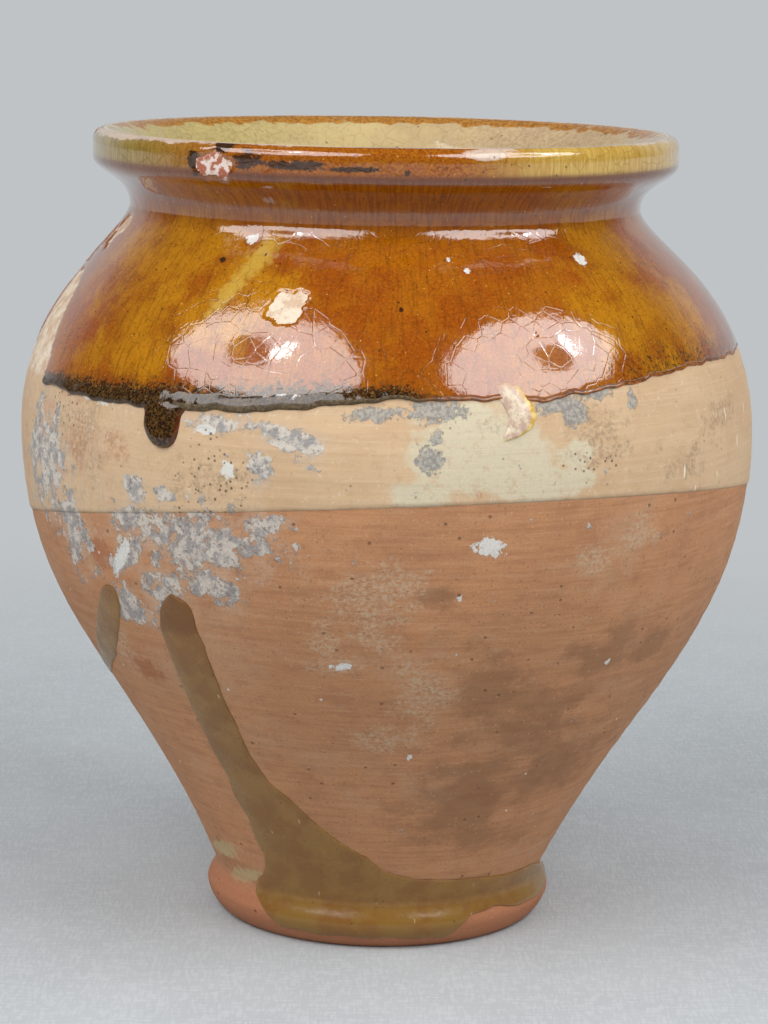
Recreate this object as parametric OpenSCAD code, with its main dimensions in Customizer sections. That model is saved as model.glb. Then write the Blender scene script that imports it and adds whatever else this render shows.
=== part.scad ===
// Glazed confit pot: one thrown clay body with the layers fired on it, each layer its own solid.
// Millimetres, +Z up, the foot stands on z = 0, the side seen in the photograph faces -Y.
// Angles round the pot are counted from the front, positive to the right.

/* [Thrown body] */
// height of the finished pot, table to rim
total_h = 245; // [240:0.5:252]
// widest diameter of the clay, at the belly
belly_d = 225.6; // [216:0.4:234]
// height of the widest place
belly_h = 154; // [148:1:160]
// narrowest diameter of the clay, at the neck
neck_d = 155.2; // [148:0.4:160]
// how far below the rim the neck is narrowest
neck_drop = 22.6; // [21:0.2:25]
// diameter of the lip's upright face
lip_d = 177.8; // [174:0.2:184]
// height of the lip's upright face
lip_face_h = 4.2; // [3:0.2:5]
// diameter of the lip's top ridge
ridge_d = 173.2; // [170:0.2:174]
// clay thickness of the wall
wall_t = 6.4; // [5:0.1:8]
// clay thickness of the floor
floor_t = 10; // [8:0.5:12]

/* [Foot] */
// diameter of the foot where it bulges
foot_d = 108.4; // [102:0.4:112]
// height at which the foot bulges most
foot_h = 7.9; // [7:0.1:9]
// diameter of the groove turned above the foot
groove_d = 103.6; // [98:0.4:106]
// height of that groove
groove_h = 15.6; // [14:0.2:17]
// diameter of the ring that touches the table
base_d = 97.8; // [94:0.4:100]
// width of the ring that touches the table
ring_w = 7; // [4:0.5:10]
// depth of the hollow inside that ring
dish_h = 1.2; // [0.6:0.1:2]

/* [Slip and glaze] */
// thickness of the white slip
slip_t = 0.4; // [0.3:0.05:0.6]
// height of the slip's lower edge on the pot's axis
slip_h = 131.7; // [128:0.5:136]
// how far the slip's edge rises towards the front, in degrees
slip_rise = 8; // [4:0.5:10]
// how far the slip's edge rises towards the right, in degrees
slip_lean = 3; // [0:0.5:5]
// thickness of the amber glaze
glaze_t = 0.5; // [0.4:0.05:0.7]
// height of the glaze's lower edge on the pot's axis
glaze_h = 176.3; // [172:0.5:180]
// how far the glaze's edge rises towards the right, in degrees
glaze_lean = 2.9; // [0:0.1:4]

/* [Bead and drips] */
// height of the pooled bead along the glaze's lower edge
bead_w = 4; // [3:0.2:5]
// greatest thickness of that bead
bead_t = 1.3; // [0.9:0.05:1.6]
// place of the front drip, in degrees from the front
front_deg = -34.4; // [-50:0.2:-20]
// length of the front drip below the bead
front_l = 12.2; // [8:0.2:16]
// width of the front drip's rounded end
front_w = 15; // [9:0.5:18]
// thickness of the front drip
front_t = 2.2; // [1.5:0.1:3]
// place of the hooked drip, in degrees from the front
hook_deg = 19.4; // [10:0.2:30]
// length of the hooked drip below the bead
hook_l = 11; // [6:0.2:12]
// width of the hooked drip's rounded end
hook_w = 9.5; // [6:0.5:14]
// thickness of the hooked drip
hook_t = 1.6; // [1:0.1:2.4]
// sideways swing of the hooked drip, in degrees
hook_swing = 2.4; // [0:0.2:4]

/* [Runs and foot pool] */
// thickness of the runs and of the pool at the foot
run_t = 0.7; // [0.5:0.05:1.2]
// height at which the long run starts
long_h = 116.4; // [100:0.4:124]
// place of the long run's left edge at its start, in degrees
long_deg = -38.2; // [-46:0.2:-30]
// width of the long run, in degrees
long_span = 7.2; // [5:0.2:10]
// how far the long run bows to the left half way down, in degrees
long_bow = 2.3; // [0:0.1:4]
// how far the long run spreads to the right above the foot, in degrees
long_spread = 27; // [10:1:35]
// height at which that spread starts
spread_h = 66; // [50:1:80]
// height at which the short run starts
short_h = 114.2; // [104:0.4:120]
// height at which the short run ends
short_end = 78; // [70:1:90]
// place of the short run's start, in degrees
short_deg = -48.6; // [-54:0.2:-47]
// how far the short run has leant to the left at its end, in degrees
short_lean = 27; // [10:1:30]
// half width of the short run, in degrees
short_half = 5; // [3:0.2:6]
// height at which the long run passes into the pool
pool_h = 31; // [28:0.5:34]
// place of the pool's left end, in degrees
pool_start = -47; // [-56:0.5:-44]
// place of the pool's right end, in degrees
pool_end = 92; // [70:1:100]
// height of the pool's upper edge on the front of the foot
pool_top_h = 20; // [18:0.5:24]
// height of the bare line left below the pool
pool_bare = 3.9; // [2.5:0.1:5]
// place where the pool's lower edge steps up to the bare patch, in degrees
patch_deg = 26; // [15:1:60]
// height of that bare patch above the line
patch_h = 5; // [3:0.2:6]

/* [Chips] */
// place of the chip in the lip, in degrees
lip_chip_deg = -32.9; // [-60:0.5:60]
// height of the chip in the lip, below the rim
lip_chip_drop = 6; // [4:0.2:8]
// diameter of the chip in the lip
lip_chip_d = 11; // [5:0.5:14]
// place of the chip in the shoulder, in degrees
shoulder_chip_deg = -17.2; // [-60:0.5:60]
// height of the chip in the shoulder
shoulder_chip_h = 200.3; // [190:0.5:210]
// diameter of the chip in the shoulder
shoulder_chip_d = 9.6; // [4:0.5:14]

/* [Inside] */
// radius of the flat middle of the floor
floor_r = 30; // [20:1:36]

/* [Hidden] */
$fn = 180;
// the coats inside are slip and glaze fired as one layer, so they meet the outer coats flush at the rim
inner_t = slip_t + glaze_t;
// hair's breadth by which a drip's back stands off the surface it sticks to
proud = 0.03;
// the same for the runs, whose wider cells span more of the round wall
run_back = 0.12;
clay_h = total_h - inner_t;
neck_h = total_h - neck_drop;
belly_r = belly_d / 2;
neck_r = neck_d / 2;
lip_r = lip_d / 2;
ridge_r = ridge_d / 2;
foot_r = foot_d / 2;
groove_r = groove_d / 2;
base_r = base_d / 2;
face_top = clay_h - 3.2;
face_low = face_top - lip_face_h;

// a cubic curve through its two ends, pulled towards its two handles
function bezier(a, b, c, d, t) =
    pow(1 - t, 3) * a + 3 * pow(1 - t, 2) * t * b + 3 * (1 - t) * t * t * c + t * t * t * d;
function arc_run(a, b, c, d, n) = [for (i = [0 : n - 1]) bezier(a, b, c, d, i / n)];

// the outer clay line, from the standing ring up to the rim
wall_from = [groove_r, groove_h];
wall_pull = 0.49 * (belly_h - groove_h);
wall_a = wall_from + wall_pull * [sin(24), cos(24)];
wall_b = [belly_r, belly_h - 0.43 * (belly_h - groove_h)];
widest = [belly_r, belly_h];
shoulder_a = [belly_r, belly_h + 0.62 * (neck_h - belly_h)];
shoulder_b = [neck_r, neck_h - 9.9];
narrow = [neck_r, neck_h];
lip_under = [lip_r - 2.3, face_low - 3];
lip_low = [lip_r, face_low];
ridge = [ridge_r, clay_h];
foot_line = concat(
    arc_run([base_r, 0], [base_r + 2.6, 0.9], [foot_r, foot_h - 2.6], [foot_r, foot_h], 5),
    arc_run([foot_r, foot_h], [foot_r, foot_h + 2.4], [groove_r - 0.8, groove_h - 3], wall_from, 5)
);
wall_line = arc_run(wall_from, wall_a, wall_b, widest, 18);
shoulder_line = arc_run(widest, shoulder_a, shoulder_b, narrow, 18);
lip_line = concat(
    arc_run(narrow, [neck_r, neck_h + 6.6], lip_under - [2.6, 1.9], lip_under, 7),
    arc_run(lip_under, lip_under + [1.5, 1.1], lip_low - [0, 1.1], lip_low, 3),
    [lip_low],
    arc_run([lip_r, face_top], [lip_r, face_top + 2], [ridge_r + 1.6, clay_h], ridge, 5),
    [ridge]
);
outer_line = concat(foot_line, wall_line, shoulder_line, lip_line);
last = len(outer_line) - 1;

// the line moved outwards by t, point by point, square to its own direction
function square_to(d) = [d[1], -d[0]] / norm(d);
function moved(line, t) = [
    for (i = [0 : len(line) - 1])
        let (before = line[max(i - 1, 0)], after = line[min(i + 1, len(line) - 1)])
        line[i] + t * (i == len(line) - 1 ? [0, 1] : square_to(after - before))
];

// the inner clay line, from the rim down to the middle of the floor
hollow_line = moved(concat(wall_line, shoulder_line, [narrow]), -wall_t);
hollow_top = [neck_r - wall_t, neck_h];
hollow_first = 2;
hollow_foot = hollow_line[hollow_first];
floor_h = dish_h + floor_t;
corner_h = hollow_foot[1] - floor_h;
floor_a = hollow_foot - corner_h * [0.045, 0.1];
floor_b = hollow_foot - corner_h * [0.15, 0.33];
floor_c = [floor_r + 0.63 * (hollow_foot[0] - floor_r), floor_h];
inner_line = concat(
    arc_run(ridge, [ridge_r - 6.1, clay_h], hollow_top + [0, 12], hollow_top, 9),
    [hollow_top],
    [for (i = [len(hollow_line) - 2 : -1 : hollow_first]) hollow_line[i]],
    arc_run(floor_a, floor_b, floor_c, [floor_r, floor_h], 7),
    [[floor_r, floor_h], [0, floor_h]]
);
function lined(line, t) = [
    for (i = [0 : len(line) - 1])
        let (before = line[max(i - 1, 0)], after = line[min(i + 1, len(line) - 1)])
        line[i] + t * (i == 0 || i >= len(line) - 2 ? [0, 1] : square_to(after - before))
];

// the coats outside start just above the foot and are cut back to their dipped edges
coat_from = len(foot_line) + 4;
coat_line = [for (i = [coat_from : last]) outer_line[i]];
coat_all = moved(outer_line, slip_t);
slip_line = [for (i = [coat_from : last]) coat_all[i]];
glaze_all = moved(outer_line, slip_t + glaze_t);
glaze_line = [for (i = [coat_from : last]) glaze_all[i]];
function turned_back(line) = [for (i = [len(line) - 1 : -1 : 0]) line[i]];

// radius of the bare clay and of the slip at a height, read from the same lines
clay_table = [for (p = outer_line) [p[1], p[0]]];
slip_table = [for (p = slip_line) [p[1], p[0]]];

// the edge of the amber glaze at an angle: a level dip, leaning to the right
function glaze_edge(a) =
    let (slope = tan(glaze_lean), first = glaze_h + slope * belly_r * sin(a))
    glaze_h + slope * lookup(first, slip_table) * sin(a);

// a point at an angle, a radius and a height
function around(a, r, z) = [r * sin(a), -r * cos(a), z];
function hill(x) = max(0, 1 - x * x);
function ease(x) = x <= 0 ? 0 : x >= 1 ? 1 : x * x * (3 - 2 * x);

// two triangles for each cell of a sheet of points, nv points to a column
function cell(a, b, c, d) = [[a, b, c], [a, c, d]];
function sheet(nu, nv, first, flip) = [
    for (i = [0 : nu - 2])
        for (j = [0 : nv - 2])
            let (a = first + i * nv + j, b = a + nv, c = b + 1, d = a + 1)
            each (flip ? cell(a, b, c, d) : cell(a, d, c, b))
];
function sides(nu, nv) =
    let (n = nu * nv)
    concat(
        [for (i = [0 : nu - 2]) each cell(i * nv, (i + 1) * nv, n + (i + 1) * nv, n + i * nv)],
        [for (i = [0 : nu - 2]) let (k = i * nv + nv - 1)
            each cell(k, n + k, n + k + nv, k + nv)],
        [for (j = [0 : nv - 2]) each cell(j, n + j, n + j + 1, j + 1)],
        [for (j = [0 : nv - 2]) let (k = (nu - 1) * nv + j)
            each cell(k, k + 1, n + k + 1, n + k)]
    );

// a closed skin: face is the sheet seen from outside, back is the sheet that lies on the pot
module skin(face, back) {
    nu = len(face);
    nv = len(face[0]);
    flat_face = [for (column = face) each column];
    flat_back = [for (column = back) each column];
    polyhedron(
        concat(flat_face, flat_back),
        concat(sheet(nu, nv, 0, false), sheet(nu, nv, nu * nv, true), sides(nu, nv)),
        convexity = 8
    );
}

// half width, in degrees, of a drip that narrows from its root and ends round
function drip_half(v, half, neck) =
    v < neck ? half + 0.75 * half * pow(1 - v / neck, 2) : half * sqrt(hill((v - neck) / (1.02 - neck)));

// a drip hanging from the bead's lower edge, swung sideways as it falls
module drip(at, fall, width, thick, swing) {
    nu = 13;
    nv = 13;
    half = width / 2 / lookup(glaze_edge(at), slip_table) * 180 / PI;
    function angle(u, v) = at + swing * sin(200 * v) + (2 * u - 1) * drip_half(v, half, 0.35);
    function height(a, v) = glaze_edge(a) - proud - fall * v * (1 - 0.05 * v);
    function fullness(v) = ease(v * 1.6) * hill(0.98 * v * v);
    function thickness(u, v) = glaze_t + (thick - glaze_t) * hill(2 * u - 1) * fullness(v);
    face = [for (i = [0 : nu - 1]) [for (j = [0 : nv - 1])
        let (u = i / (nu - 1), v = j / (nv - 1), a = angle(u, v), z = height(a, v))
        around(a, lookup(z, slip_table) + thickness(u, v), z)]];
    back = [for (i = [0 : nu - 1]) [for (j = [0 : nv - 1])
        let (u = i / (nu - 1), v = j / (nv - 1), a = angle(u, v), z = height(a, v))
        around(a, lookup(z, slip_table) + proud, z)]];
    skin(face, back);
}

// a skin of runny glaze on the bare clay between two edges, low and high give its ends in each column
module smear(face_angle, nu, nv) {
    face = [for (i = [0 : nu - 1]) [for (j = [0 : nv - 1])
        let (p = face_angle[i][j])
        around(p[0], lookup(p[1], clay_table) + p[2], p[1])]];
    back = [for (i = [0 : nu - 1]) [for (j = [0 : nv - 1])
        let (p = face_angle[i][j])
        around(p[0], lookup(p[1], clay_table) + run_back, p[1])]];
    skin(face, back);
}

function long_left(z) = long_deg - long_bow * sin(180 * (long_h - z) / (long_h - pool_h));
function long_right(z) = long_deg + long_span
    + long_spread * pow(max(0, (spread_h - z) / (spread_h - pool_h)), 1.7);
function pool_top(a) =
    let (
        right = long_right(pool_h),
        left_h = pool_top_h - 3 + (pool_h - pool_top_h + 3) * ease((a - pool_start - 4) / 5),
        right_h = pool_top_h + (pool_h - pool_top_h) * exp(-(a - right) / 8)
    )
    a <= right ? left_h : right_h - 0.37 * pool_top_h * ease((a - pool_end + 30) / 34);
function pool_floor(a) = pool_bare + 8 * ease((pool_start + 17 - a) / 17)
    + patch_h * ease((a - patch_deg + 2) / 10);

// cuts away what lies below a dipped edge
module above_edge(h, rise, lean) {
    intersection() {
        children();
        translate([0, 0, h])
        rotate([-rise, -lean, 0])
        translate([-belly_d, -belly_d, 0])
        cube([2 * belly_d, 2 * belly_d, total_h]);
    }
}

module chip_ball(deg, z, size) {
    translate(around(deg, lookup(z, clay_table) + slip_t, z)) sphere(d = size, $fn = 48);
}

// the thrown pot: foot, belly, neck, rolled lip, hollow inside and a dished underside
module clay_body() {
    color([0.66, 0.45, 0.33])
    rotate_extrude()
    polygon(concat(
        outer_line,
        [for (i = [1 : len(inner_line) - 1]) inner_line[i]],
        [[0, dish_h], [base_r - ring_w - 2, dish_h], [base_r - ring_w, 0]]
    ));
}

// white slip from its dipped edge up over the lip
module slip_coat() {
    color([0.85, 0.74, 0.60])
    difference() {
        above_edge(slip_h, slip_rise, slip_lean)
        rotate_extrude()
        polygon(concat(coat_line, turned_back(slip_line)));
        chip_ball(lip_chip_deg, total_h - lip_chip_drop, lip_chip_d);
    }
}

// amber glaze over the slip, from just above its lower edge to the rim
module shoulder_glaze() {
    color([0.70, 0.42, 0.08])
    difference() {
        above_edge(glaze_h + bead_w, 0, glaze_lean)
        rotate_extrude()
        polygon(concat(slip_line, turned_back(glaze_line)));
        chip_ball(lip_chip_deg, total_h - lip_chip_drop, lip_chip_d + 0.6);
        chip_ball(shoulder_chip_deg, shoulder_chip_h, shoulder_chip_d);
    }
}

// pale glaze that lines the hollow from the rim to the floor
module inner_glaze() {
    color([0.80, 0.72, 0.50])
    rotate_extrude()
    polygon(concat(inner_line, turned_back(lined(inner_line, inner_t))));
}

// the thick dark bead pooled along the glaze's lower edge
module glaze_bead() {
    nu = 120;
    nv = 6;
    step = 360 / nu;
    function height(i, j) = glaze_edge(i * step) + (bead_w - proud) * j / (nv - 1);
    function thickness(j) = glaze_t + (bead_t - glaze_t) * sin(180 * j / (nv - 1));
    face = [for (i = [0 : nu - 1]) for (j = [0 : nv - 1])
        let (z = height(i, j))
        around(i * step, lookup(z, slip_table) + thickness(j), z)];
    back = [for (i = [0 : nu - 1]) for (j = [0 : nv - 1])
        let (z = height(i, j))
        around(i * step, lookup(z, slip_table) / cos(step / 2) + proud, z)];
    n = nu * nv;
    color([0.22, 0.14, 0.06])
    polyhedron(
        concat(face, back),
        [for (i = [0 : nu - 1]) let (k = i * nv, m = ((i + 1) % nu) * nv) each concat(
            [for (j = [0 : nv - 2]) each cell(k + j, k + j + 1, m + j + 1, m + j)],
            [for (j = [0 : nv - 2]) each cell(n + k + j, n + m + j, n + m + j + 1, n + k + j + 1)],
            cell(k, m, n + m, n + k),
            cell(k + nv - 1, n + k + nv - 1, n + m + nv - 1, m + nv - 1)
        )],
        convexity = 8
    );
}

// dark rounded drip left of the middle
module front_drip() {
    color([0.20, 0.14, 0.07])
    drip(front_deg, front_l, front_w, front_t, 0);
}

// pale drip right of the middle that swings out and back
module hooked_drip() {
    color([0.74, 0.62, 0.50])
    drip(hook_deg, hook_l, hook_w, hook_t, hook_swing);
}

// olive run down the bare wall into the pool at the foot
module long_run() {
    nu = 19;
    nv = 32;
    color([0.46, 0.36, 0.20])
    smear(
        [for (i = [0 : nu - 1]) [for (j = [0 : nv - 1])
            let (
                u = i / (nu - 1),
                v = j / (nv - 1),
                z = long_h - (long_h - pool_h) * pow(v, 1.15),
                round_end = sqrt(hill(1 - min(1, (long_h + 0.6 - z) / 6))),
                middle = (long_left(z) + long_right(z)) / 2,
                half = (long_right(z) - long_left(z)) / 2 * round_end
            )
            [middle + (2 * u - 1) * half, z, 0.25 + (run_t - 0.25) * hill(pow(abs(2 * u - 1), 2))]
        ]],
        nu, nv
    );
}

// shorter run at the left that leans as it falls
module short_run() {
    nu = 9;
    nv = 16;
    color([0.46, 0.36, 0.22])
    smear(
        [for (i = [0 : nu - 1]) [for (j = [0 : nv - 1])
            let (
                u = i / (nu - 1),
                v = j / (nv - 1),
                z = short_h - (short_h - short_end) * v,
                round_top = sqrt(hill(1 - min(1, (short_h + 0.6 - z) / 7))),
                round_tip = sqrt(hill(max(0, v - 0.7) / 0.31)),
                middle = short_deg - short_lean * (0.55 * v + 0.45 * v * v),
                half = short_half * round_top * round_tip
            )
            [middle + (2 * u - 1) * half, z, 0.25 + (run_t - 0.25) * hill(2 * u - 1)]
        ]],
        nu, nv
    );
}

// olive pool of glaze on the front and right of the foot
module foot_pool() {
    nu = 47;
    nv = 12;
    from = long_left(pool_h);
    color([0.53, 0.40, 0.22])
    smear(
        [for (i = [0 : nu - 1]) [for (j = [0 : nv - 1])
            let (
                a = pool_start + (pool_end - pool_start) * i / (nu - 1),
                v = j / (nv - 1),
                z = pool_top(a) - proud - (pool_top(a) - proud - pool_floor(a)) * v,
                in_run = 1 - ease((a - long_right(pool_h)) / 10),
                u = (a - from) / (long_right(pool_h) - from),
                join_t = 0.25 + (run_t - 0.25) * hill(pow(abs(2 * min(u, 1) - 1), 2)),
                pool_t = 0.25 + (run_t - 0.25) * sin(180 * min(1, v + 0.08))
            )
            [a, z, max(0.25, join_t * (1 - ease(v * 3)) * in_run + pool_t * (1 - (1 - ease(v * 3)) * in_run))]
        ]],
        nu, nv
    );
}

clay_body();
slip_coat();
shoulder_glaze();
inner_glaze();
glaze_bead();
front_drip();
hooked_drip();
long_run();
short_run();
foot_pool();
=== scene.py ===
"""Confit pot: a thrown and fired clay pot, white slip over its upper part, amber glaze over the slip.

Every layer is a closed surface laid on one shared outline, worked out over (angle, height).
Angles are in degrees from the front, positive to the right; lengths are in millimetres until
the mesh is made, and the front faces -Y."""
import math

import bpy
import numpy as np
from mathutils import Matrix, Vector


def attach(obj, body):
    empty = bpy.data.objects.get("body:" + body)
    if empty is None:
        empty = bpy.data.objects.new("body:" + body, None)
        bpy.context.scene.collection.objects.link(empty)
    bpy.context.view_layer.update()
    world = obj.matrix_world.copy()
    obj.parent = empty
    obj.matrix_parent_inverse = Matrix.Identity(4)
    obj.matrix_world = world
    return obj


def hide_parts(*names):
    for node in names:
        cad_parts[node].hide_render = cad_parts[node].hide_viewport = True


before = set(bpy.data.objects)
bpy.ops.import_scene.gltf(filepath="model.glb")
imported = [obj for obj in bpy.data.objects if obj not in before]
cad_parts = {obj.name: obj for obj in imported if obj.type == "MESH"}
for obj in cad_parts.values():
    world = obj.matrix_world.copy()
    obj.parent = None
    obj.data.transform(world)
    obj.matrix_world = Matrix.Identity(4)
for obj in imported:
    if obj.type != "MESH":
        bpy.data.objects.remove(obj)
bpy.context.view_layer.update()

# the turned outline
TOTAL_H = 245.0
SLIP_T = 0.4
GLAZE_T = 0.5
INNER_T = SLIP_T + GLAZE_T
CLAY_H = TOTAL_H - INNER_T
NECK_H = TOTAL_H - 22.6
WALL_T = 6.4
FLOOR_H = 11.2


def curve(a, b, c, d, n=60):
    """Cubic curve from a to d, pulled to b and c, by the weights (1-t)^3, 3(1-t)^2 t, 3(1-t) t^2, t^3."""
    t = (np.arange(n) / n)[:, None]
    a, b, c, d = (np.asarray(p, float) for p in (a, b, c, d))
    return (1 - t) ** 3 * a + 3 * (1 - t) ** 2 * t * b + 3 * (1 - t) * t * t * c + t ** 3 * d


def outline():
    """Outer clay line from the standing ring up to the rim: foot bulge, groove, wall, shoulder, neck, lip."""
    pull = 0.49 * (154 - 15.6)
    lean = math.radians(24)
    wall_a = (51.8 + pull * math.sin(lean), 15.6 + pull * math.cos(lean))
    top = CLAY_H - 3.2
    low = top - 4.2
    return np.vstack([
        curve((48.9, 0), (51.5, 0.9), (54.2, 5.3), (54.2, 7.9)),
        curve((54.2, 7.9), (54.2, 10.3), (51.0, 12.6), (51.8, 15.6)),
        curve((51.8, 15.6), wall_a, (112.8, 94.5), (112.8, 154), 300),
        curve((112.8, 154), (112.8, 154 + 0.62 * (NECK_H - 154)), (77.6, NECK_H - 9.9), (77.6, NECK_H), 240),
        curve((77.6, NECK_H), (77.6, NECK_H + 6.6), (84.0, low - 4.9), (86.6, low - 3)),
        curve((86.6, low - 3), (88.1, low - 1.9), (88.9, low - 1.1), (88.9, low)),
        curve((88.9, low), (88.9, low + 1), (88.9, top - 1), (88.9, top), 20),
        curve((88.9, top), (88.9, top + 2), (88.2, CLAY_H), (86.6, CLAY_H)),
        [(86.6, CLAY_H)],
    ])


class Line:
    """A line of (radius, height) points, its length along it, and its normals, which point to its right."""

    def __init__(self, points):
        step = np.hypot(*np.diff(points, axis=0).T)
        keep = np.r_[True, step > 1e-6]
        self.r, self.z = points[keep].T
        self.s = np.r_[0, np.cumsum(np.hypot(np.diff(self.r), np.diff(self.z)))]
        dr, dz = np.gradient(self.r, self.s), np.gradient(self.z, self.s)
        size = np.hypot(dr, dz)
        self.nr, self.nz = dz / size, -dr / size

    def at(self, s):
        return [np.interp(s, self.s, v) for v in (self.r, self.z, self.nr, self.nz)]

    def of_height(self, z):
        return np.interp(z, self.z, self.s)


OUTER = Line(outline())
RIM_S = OUTER.s[-1]


def inner_outline():
    """Inner clay line from the rim to the middle of the floor: the outer wall moved in by its thickness."""
    wall = OUTER.s[(OUTER.z > 38.2) & (OUTER.z < NECK_H)][::-4]
    r, z, nr, nz = OUTER.at(wall)
    wall_r, wall_z = r - WALL_T * nr, z - WALL_T * nz
    foot = (wall_r[-1], wall_z[-1])
    return np.vstack([
        curve((86.6, CLAY_H), (80.5, CLAY_H), (71.2, NECK_H + 12), (71.2, NECK_H)),
        np.c_[wall_r, wall_z],
        curve(foot, (foot[0] - 4, foot[1] - 9), (foot[0] - 9, FLOOR_H), (30, FLOOR_H)),
        curve((30, FLOOR_H), (20, FLOOR_H), (10, FLOOR_H), (0.4, FLOOR_H)),
    ])


INNER = Line(inner_outline())

# the thrown axis isn't quite straight: how far each height sits to the right of it
LEAN_Z = [0, 15, 40, 75, 120, 160, 200, 222, 245]
LEAN_X = [-0.3, -0.2, 0.7, 1.5, 0.6, 0.2, 0.4, -1.5, -1.4]


def lean(z):
    """Sideways place of the axis at a height: straight between heights, smoothed by a running mean."""
    fine = np.arange(-20.0, 266.0)
    x = np.interp(fine, LEAN_Z, LEAN_X)
    x = np.convolve(np.pad(x, 10, "edge"), np.hanning(21) / np.hanning(21).sum(), "valid")
    return np.interp(z, fine, x)


def place(line, a, s, out):
    """Points at angle a and length s on a line, moved out along its normal; the result is in metres."""
    r, z, nr, nz = line.at(s)
    r, z = r + out * nr, z + out * nz
    t = np.radians(a)
    return np.stack([lean(z) + r * np.sin(t), -r * np.cos(t), z], axis=-1) / 1000


# smooth random fields
TABLE = np.random.default_rng(7).random((64, 64, 64))


def cloud(p, size, seed=0, octaves=3):
    """Random field from -1 to 1 with features of a size in mm: numbers on a cubic lattice, blended
    smoothly between its corners, and the same again at half the size and half the strength."""
    total, weight, sum_w = 0.0, 1.0, 0.0
    for k in range(octaves):
        q = p * 1000 / size * 2 ** k + seed * 17.31 + k * 5.7
        i = np.floor(q).astype(int)
        f = q - i
        f = f * f * (3 - 2 * f)
        v = 0.0
        for c in range(8):
            o = np.array([c & 1, c >> 1 & 1, c >> 2 & 1])
            w = np.prod(np.where(o, f, 1 - f), axis=-1)
            v = v + w * TABLE[tuple(np.moveaxis((i + o) % 64, -1, 0))]
        total, sum_w = total + weight * (2 * v - 1), sum_w + weight
        weight *= 0.5
    return total / sum_w * 1.6


def ease(x, low, high):
    """0 below low, 1 above high, a smooth step between."""
    t = np.clip((x - low) / (high - low), 0, 1)
    return t * t * (3 - 2 * t)


def blot(a, z, at, height, wide, tall, tilt=0.0):
    """1 in the middle of an oval, 0.5 on its edge, 0 at twice its size; wide and tall are half sizes."""
    r = np.interp(height, OUTER.z, OUTER.r)
    x, y = np.radians((a - at + 180) % 360 - 180) * r, z - height
    c, s = math.cos(math.radians(tilt)), math.sin(math.radians(tilt))
    d = np.hypot((x * c + y * s) / wide, (-x * s + y * c) / tall)
    return np.clip(1 - d / 2, 0, 1)


def marks(a, z, ovals):
    """Greatest of several ovals, each an angle, a height, half its width, half its height and a tilt."""
    return np.max([blot(a, z, *oval) for oval in ovals], axis=0)


# meshes
def skin(name, points, fields=None, closed_rows=False, poles=(None, None)):
    """Mesh from a grid of points. Each row is a closed loop. The rows either close on themselves too,
    or end in one point at each end. Faces are turned outwards by the sign of the volume they hold."""
    rows, cols, _ = points.shape
    flat = points.reshape(-1, 3)
    i, j = np.meshgrid(np.arange(rows if closed_rows else rows - 1), np.arange(cols), indexing="ij")
    a, b = i * cols + j, i * cols + (j + 1) % cols
    c, d = ((i + 1) % rows) * cols + (j + 1) % cols, ((i + 1) % rows) * cols + j
    quads = np.stack([a, b, c, d], -1).reshape(-1, 4)
    p = flat[quads]
    volume = (np.cross(p[:, 0], p[:, 1]) * p[:, 2]).sum() + (np.cross(p[:, 0], p[:, 2]) * p[:, 3]).sum()
    ends = []
    if not closed_rows:
        first = points[0].mean(0) if poles[0] is None else np.array(poles[0])
        last = points[-1].mean(0) if poles[1] is None else np.array(poles[1])
        n = len(flat)
        flat = np.vstack([flat, first, last])
        k = np.arange(cols)
        top = (rows - 1) * cols
        ends = [np.stack([(k + 1) % cols, k, np.full(cols, n)], -1),
                np.stack([top + k, top + (k + 1) % cols, np.full(cols, n + 1)], -1)]
    faces = quads[:, ::-1] if volume < 0 else quads
    tris = [e[:, ::-1] if volume < 0 else e for e in ends]
    loops = np.concatenate([faces.ravel()] + [t.ravel() for t in tris]).astype(np.int32)
    sizes = np.concatenate([np.full(len(faces), 4)] + [np.full(len(t), 3) for t in tris])
    mesh = bpy.data.meshes.new(name)
    mesh.vertices.add(len(flat))
    mesh.vertices.foreach_set("co", flat.astype(np.float32).ravel())
    mesh.loops.add(len(loops))
    mesh.loops.foreach_set("vertex_index", loops)
    mesh.polygons.add(len(sizes))
    mesh.polygons.foreach_set("loop_start", np.r_[0, np.cumsum(sizes)[:-1]].astype(np.int32))
    mesh.polygons.foreach_set("loop_total", sizes.astype(np.int32))
    mesh.polygons.foreach_set("use_smooth", np.ones(len(sizes), bool))
    mesh.update(calc_edges=True)
    mesh.validate()
    for key, values in (fields or {}).items():
        v = np.asarray(values, np.float32).reshape(rows * cols)
        if not closed_rows:
            v = np.r_[v, values[0].mean(), values[-1].mean()].astype(np.float32)
        mesh.attributes.new(key, "FLOAT", "POINT").data.foreach_set("value", v)
    piece = bpy.data.objects.new(name, mesh)
    bpy.context.collection.objects.link(piece)
    return piece


def finish_piece(piece, material, node):
    piece.data.materials.append(material)
    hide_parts(node)
    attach(piece, "root")


def angles(n, crowd=0.42):
    """n angles round the pot, closest together at the front: u - crowd * sin(u)."""
    u = np.linspace(-math.pi, math.pi, n, endpoint=False)
    return np.degrees(u - crowd * np.sin(u))


# where the layers end
def slip_edge(a):
    """Height of the slip's lower edge: a flat dip that rises to the front and to the right."""
    t = np.radians(a)
    return 131.7 + 15.6 * np.cos(t) + 5.9 * np.sin(t)


# the amber glaze's lower edge where it leaves the level dip: an angle and how far it leaves it
EDGE_A = [-180, -100, -62, -50, -41, -30, -20, -13, -5.6, 1.6, 7.4,
          12.5, 19.4, 23.3, 28.5, 37, 47, 57, 75, 110, 180]
EDGE_D = [1.2, -0.6, 0.4, -1.2, -1.5, -1.6, -1.6, -0.7, 0.5, 1.4, 0.4,
          0, -0.5, -2, -1, -0.6, 0.6, 1, -0.2, 0.8, 1.2]


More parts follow.
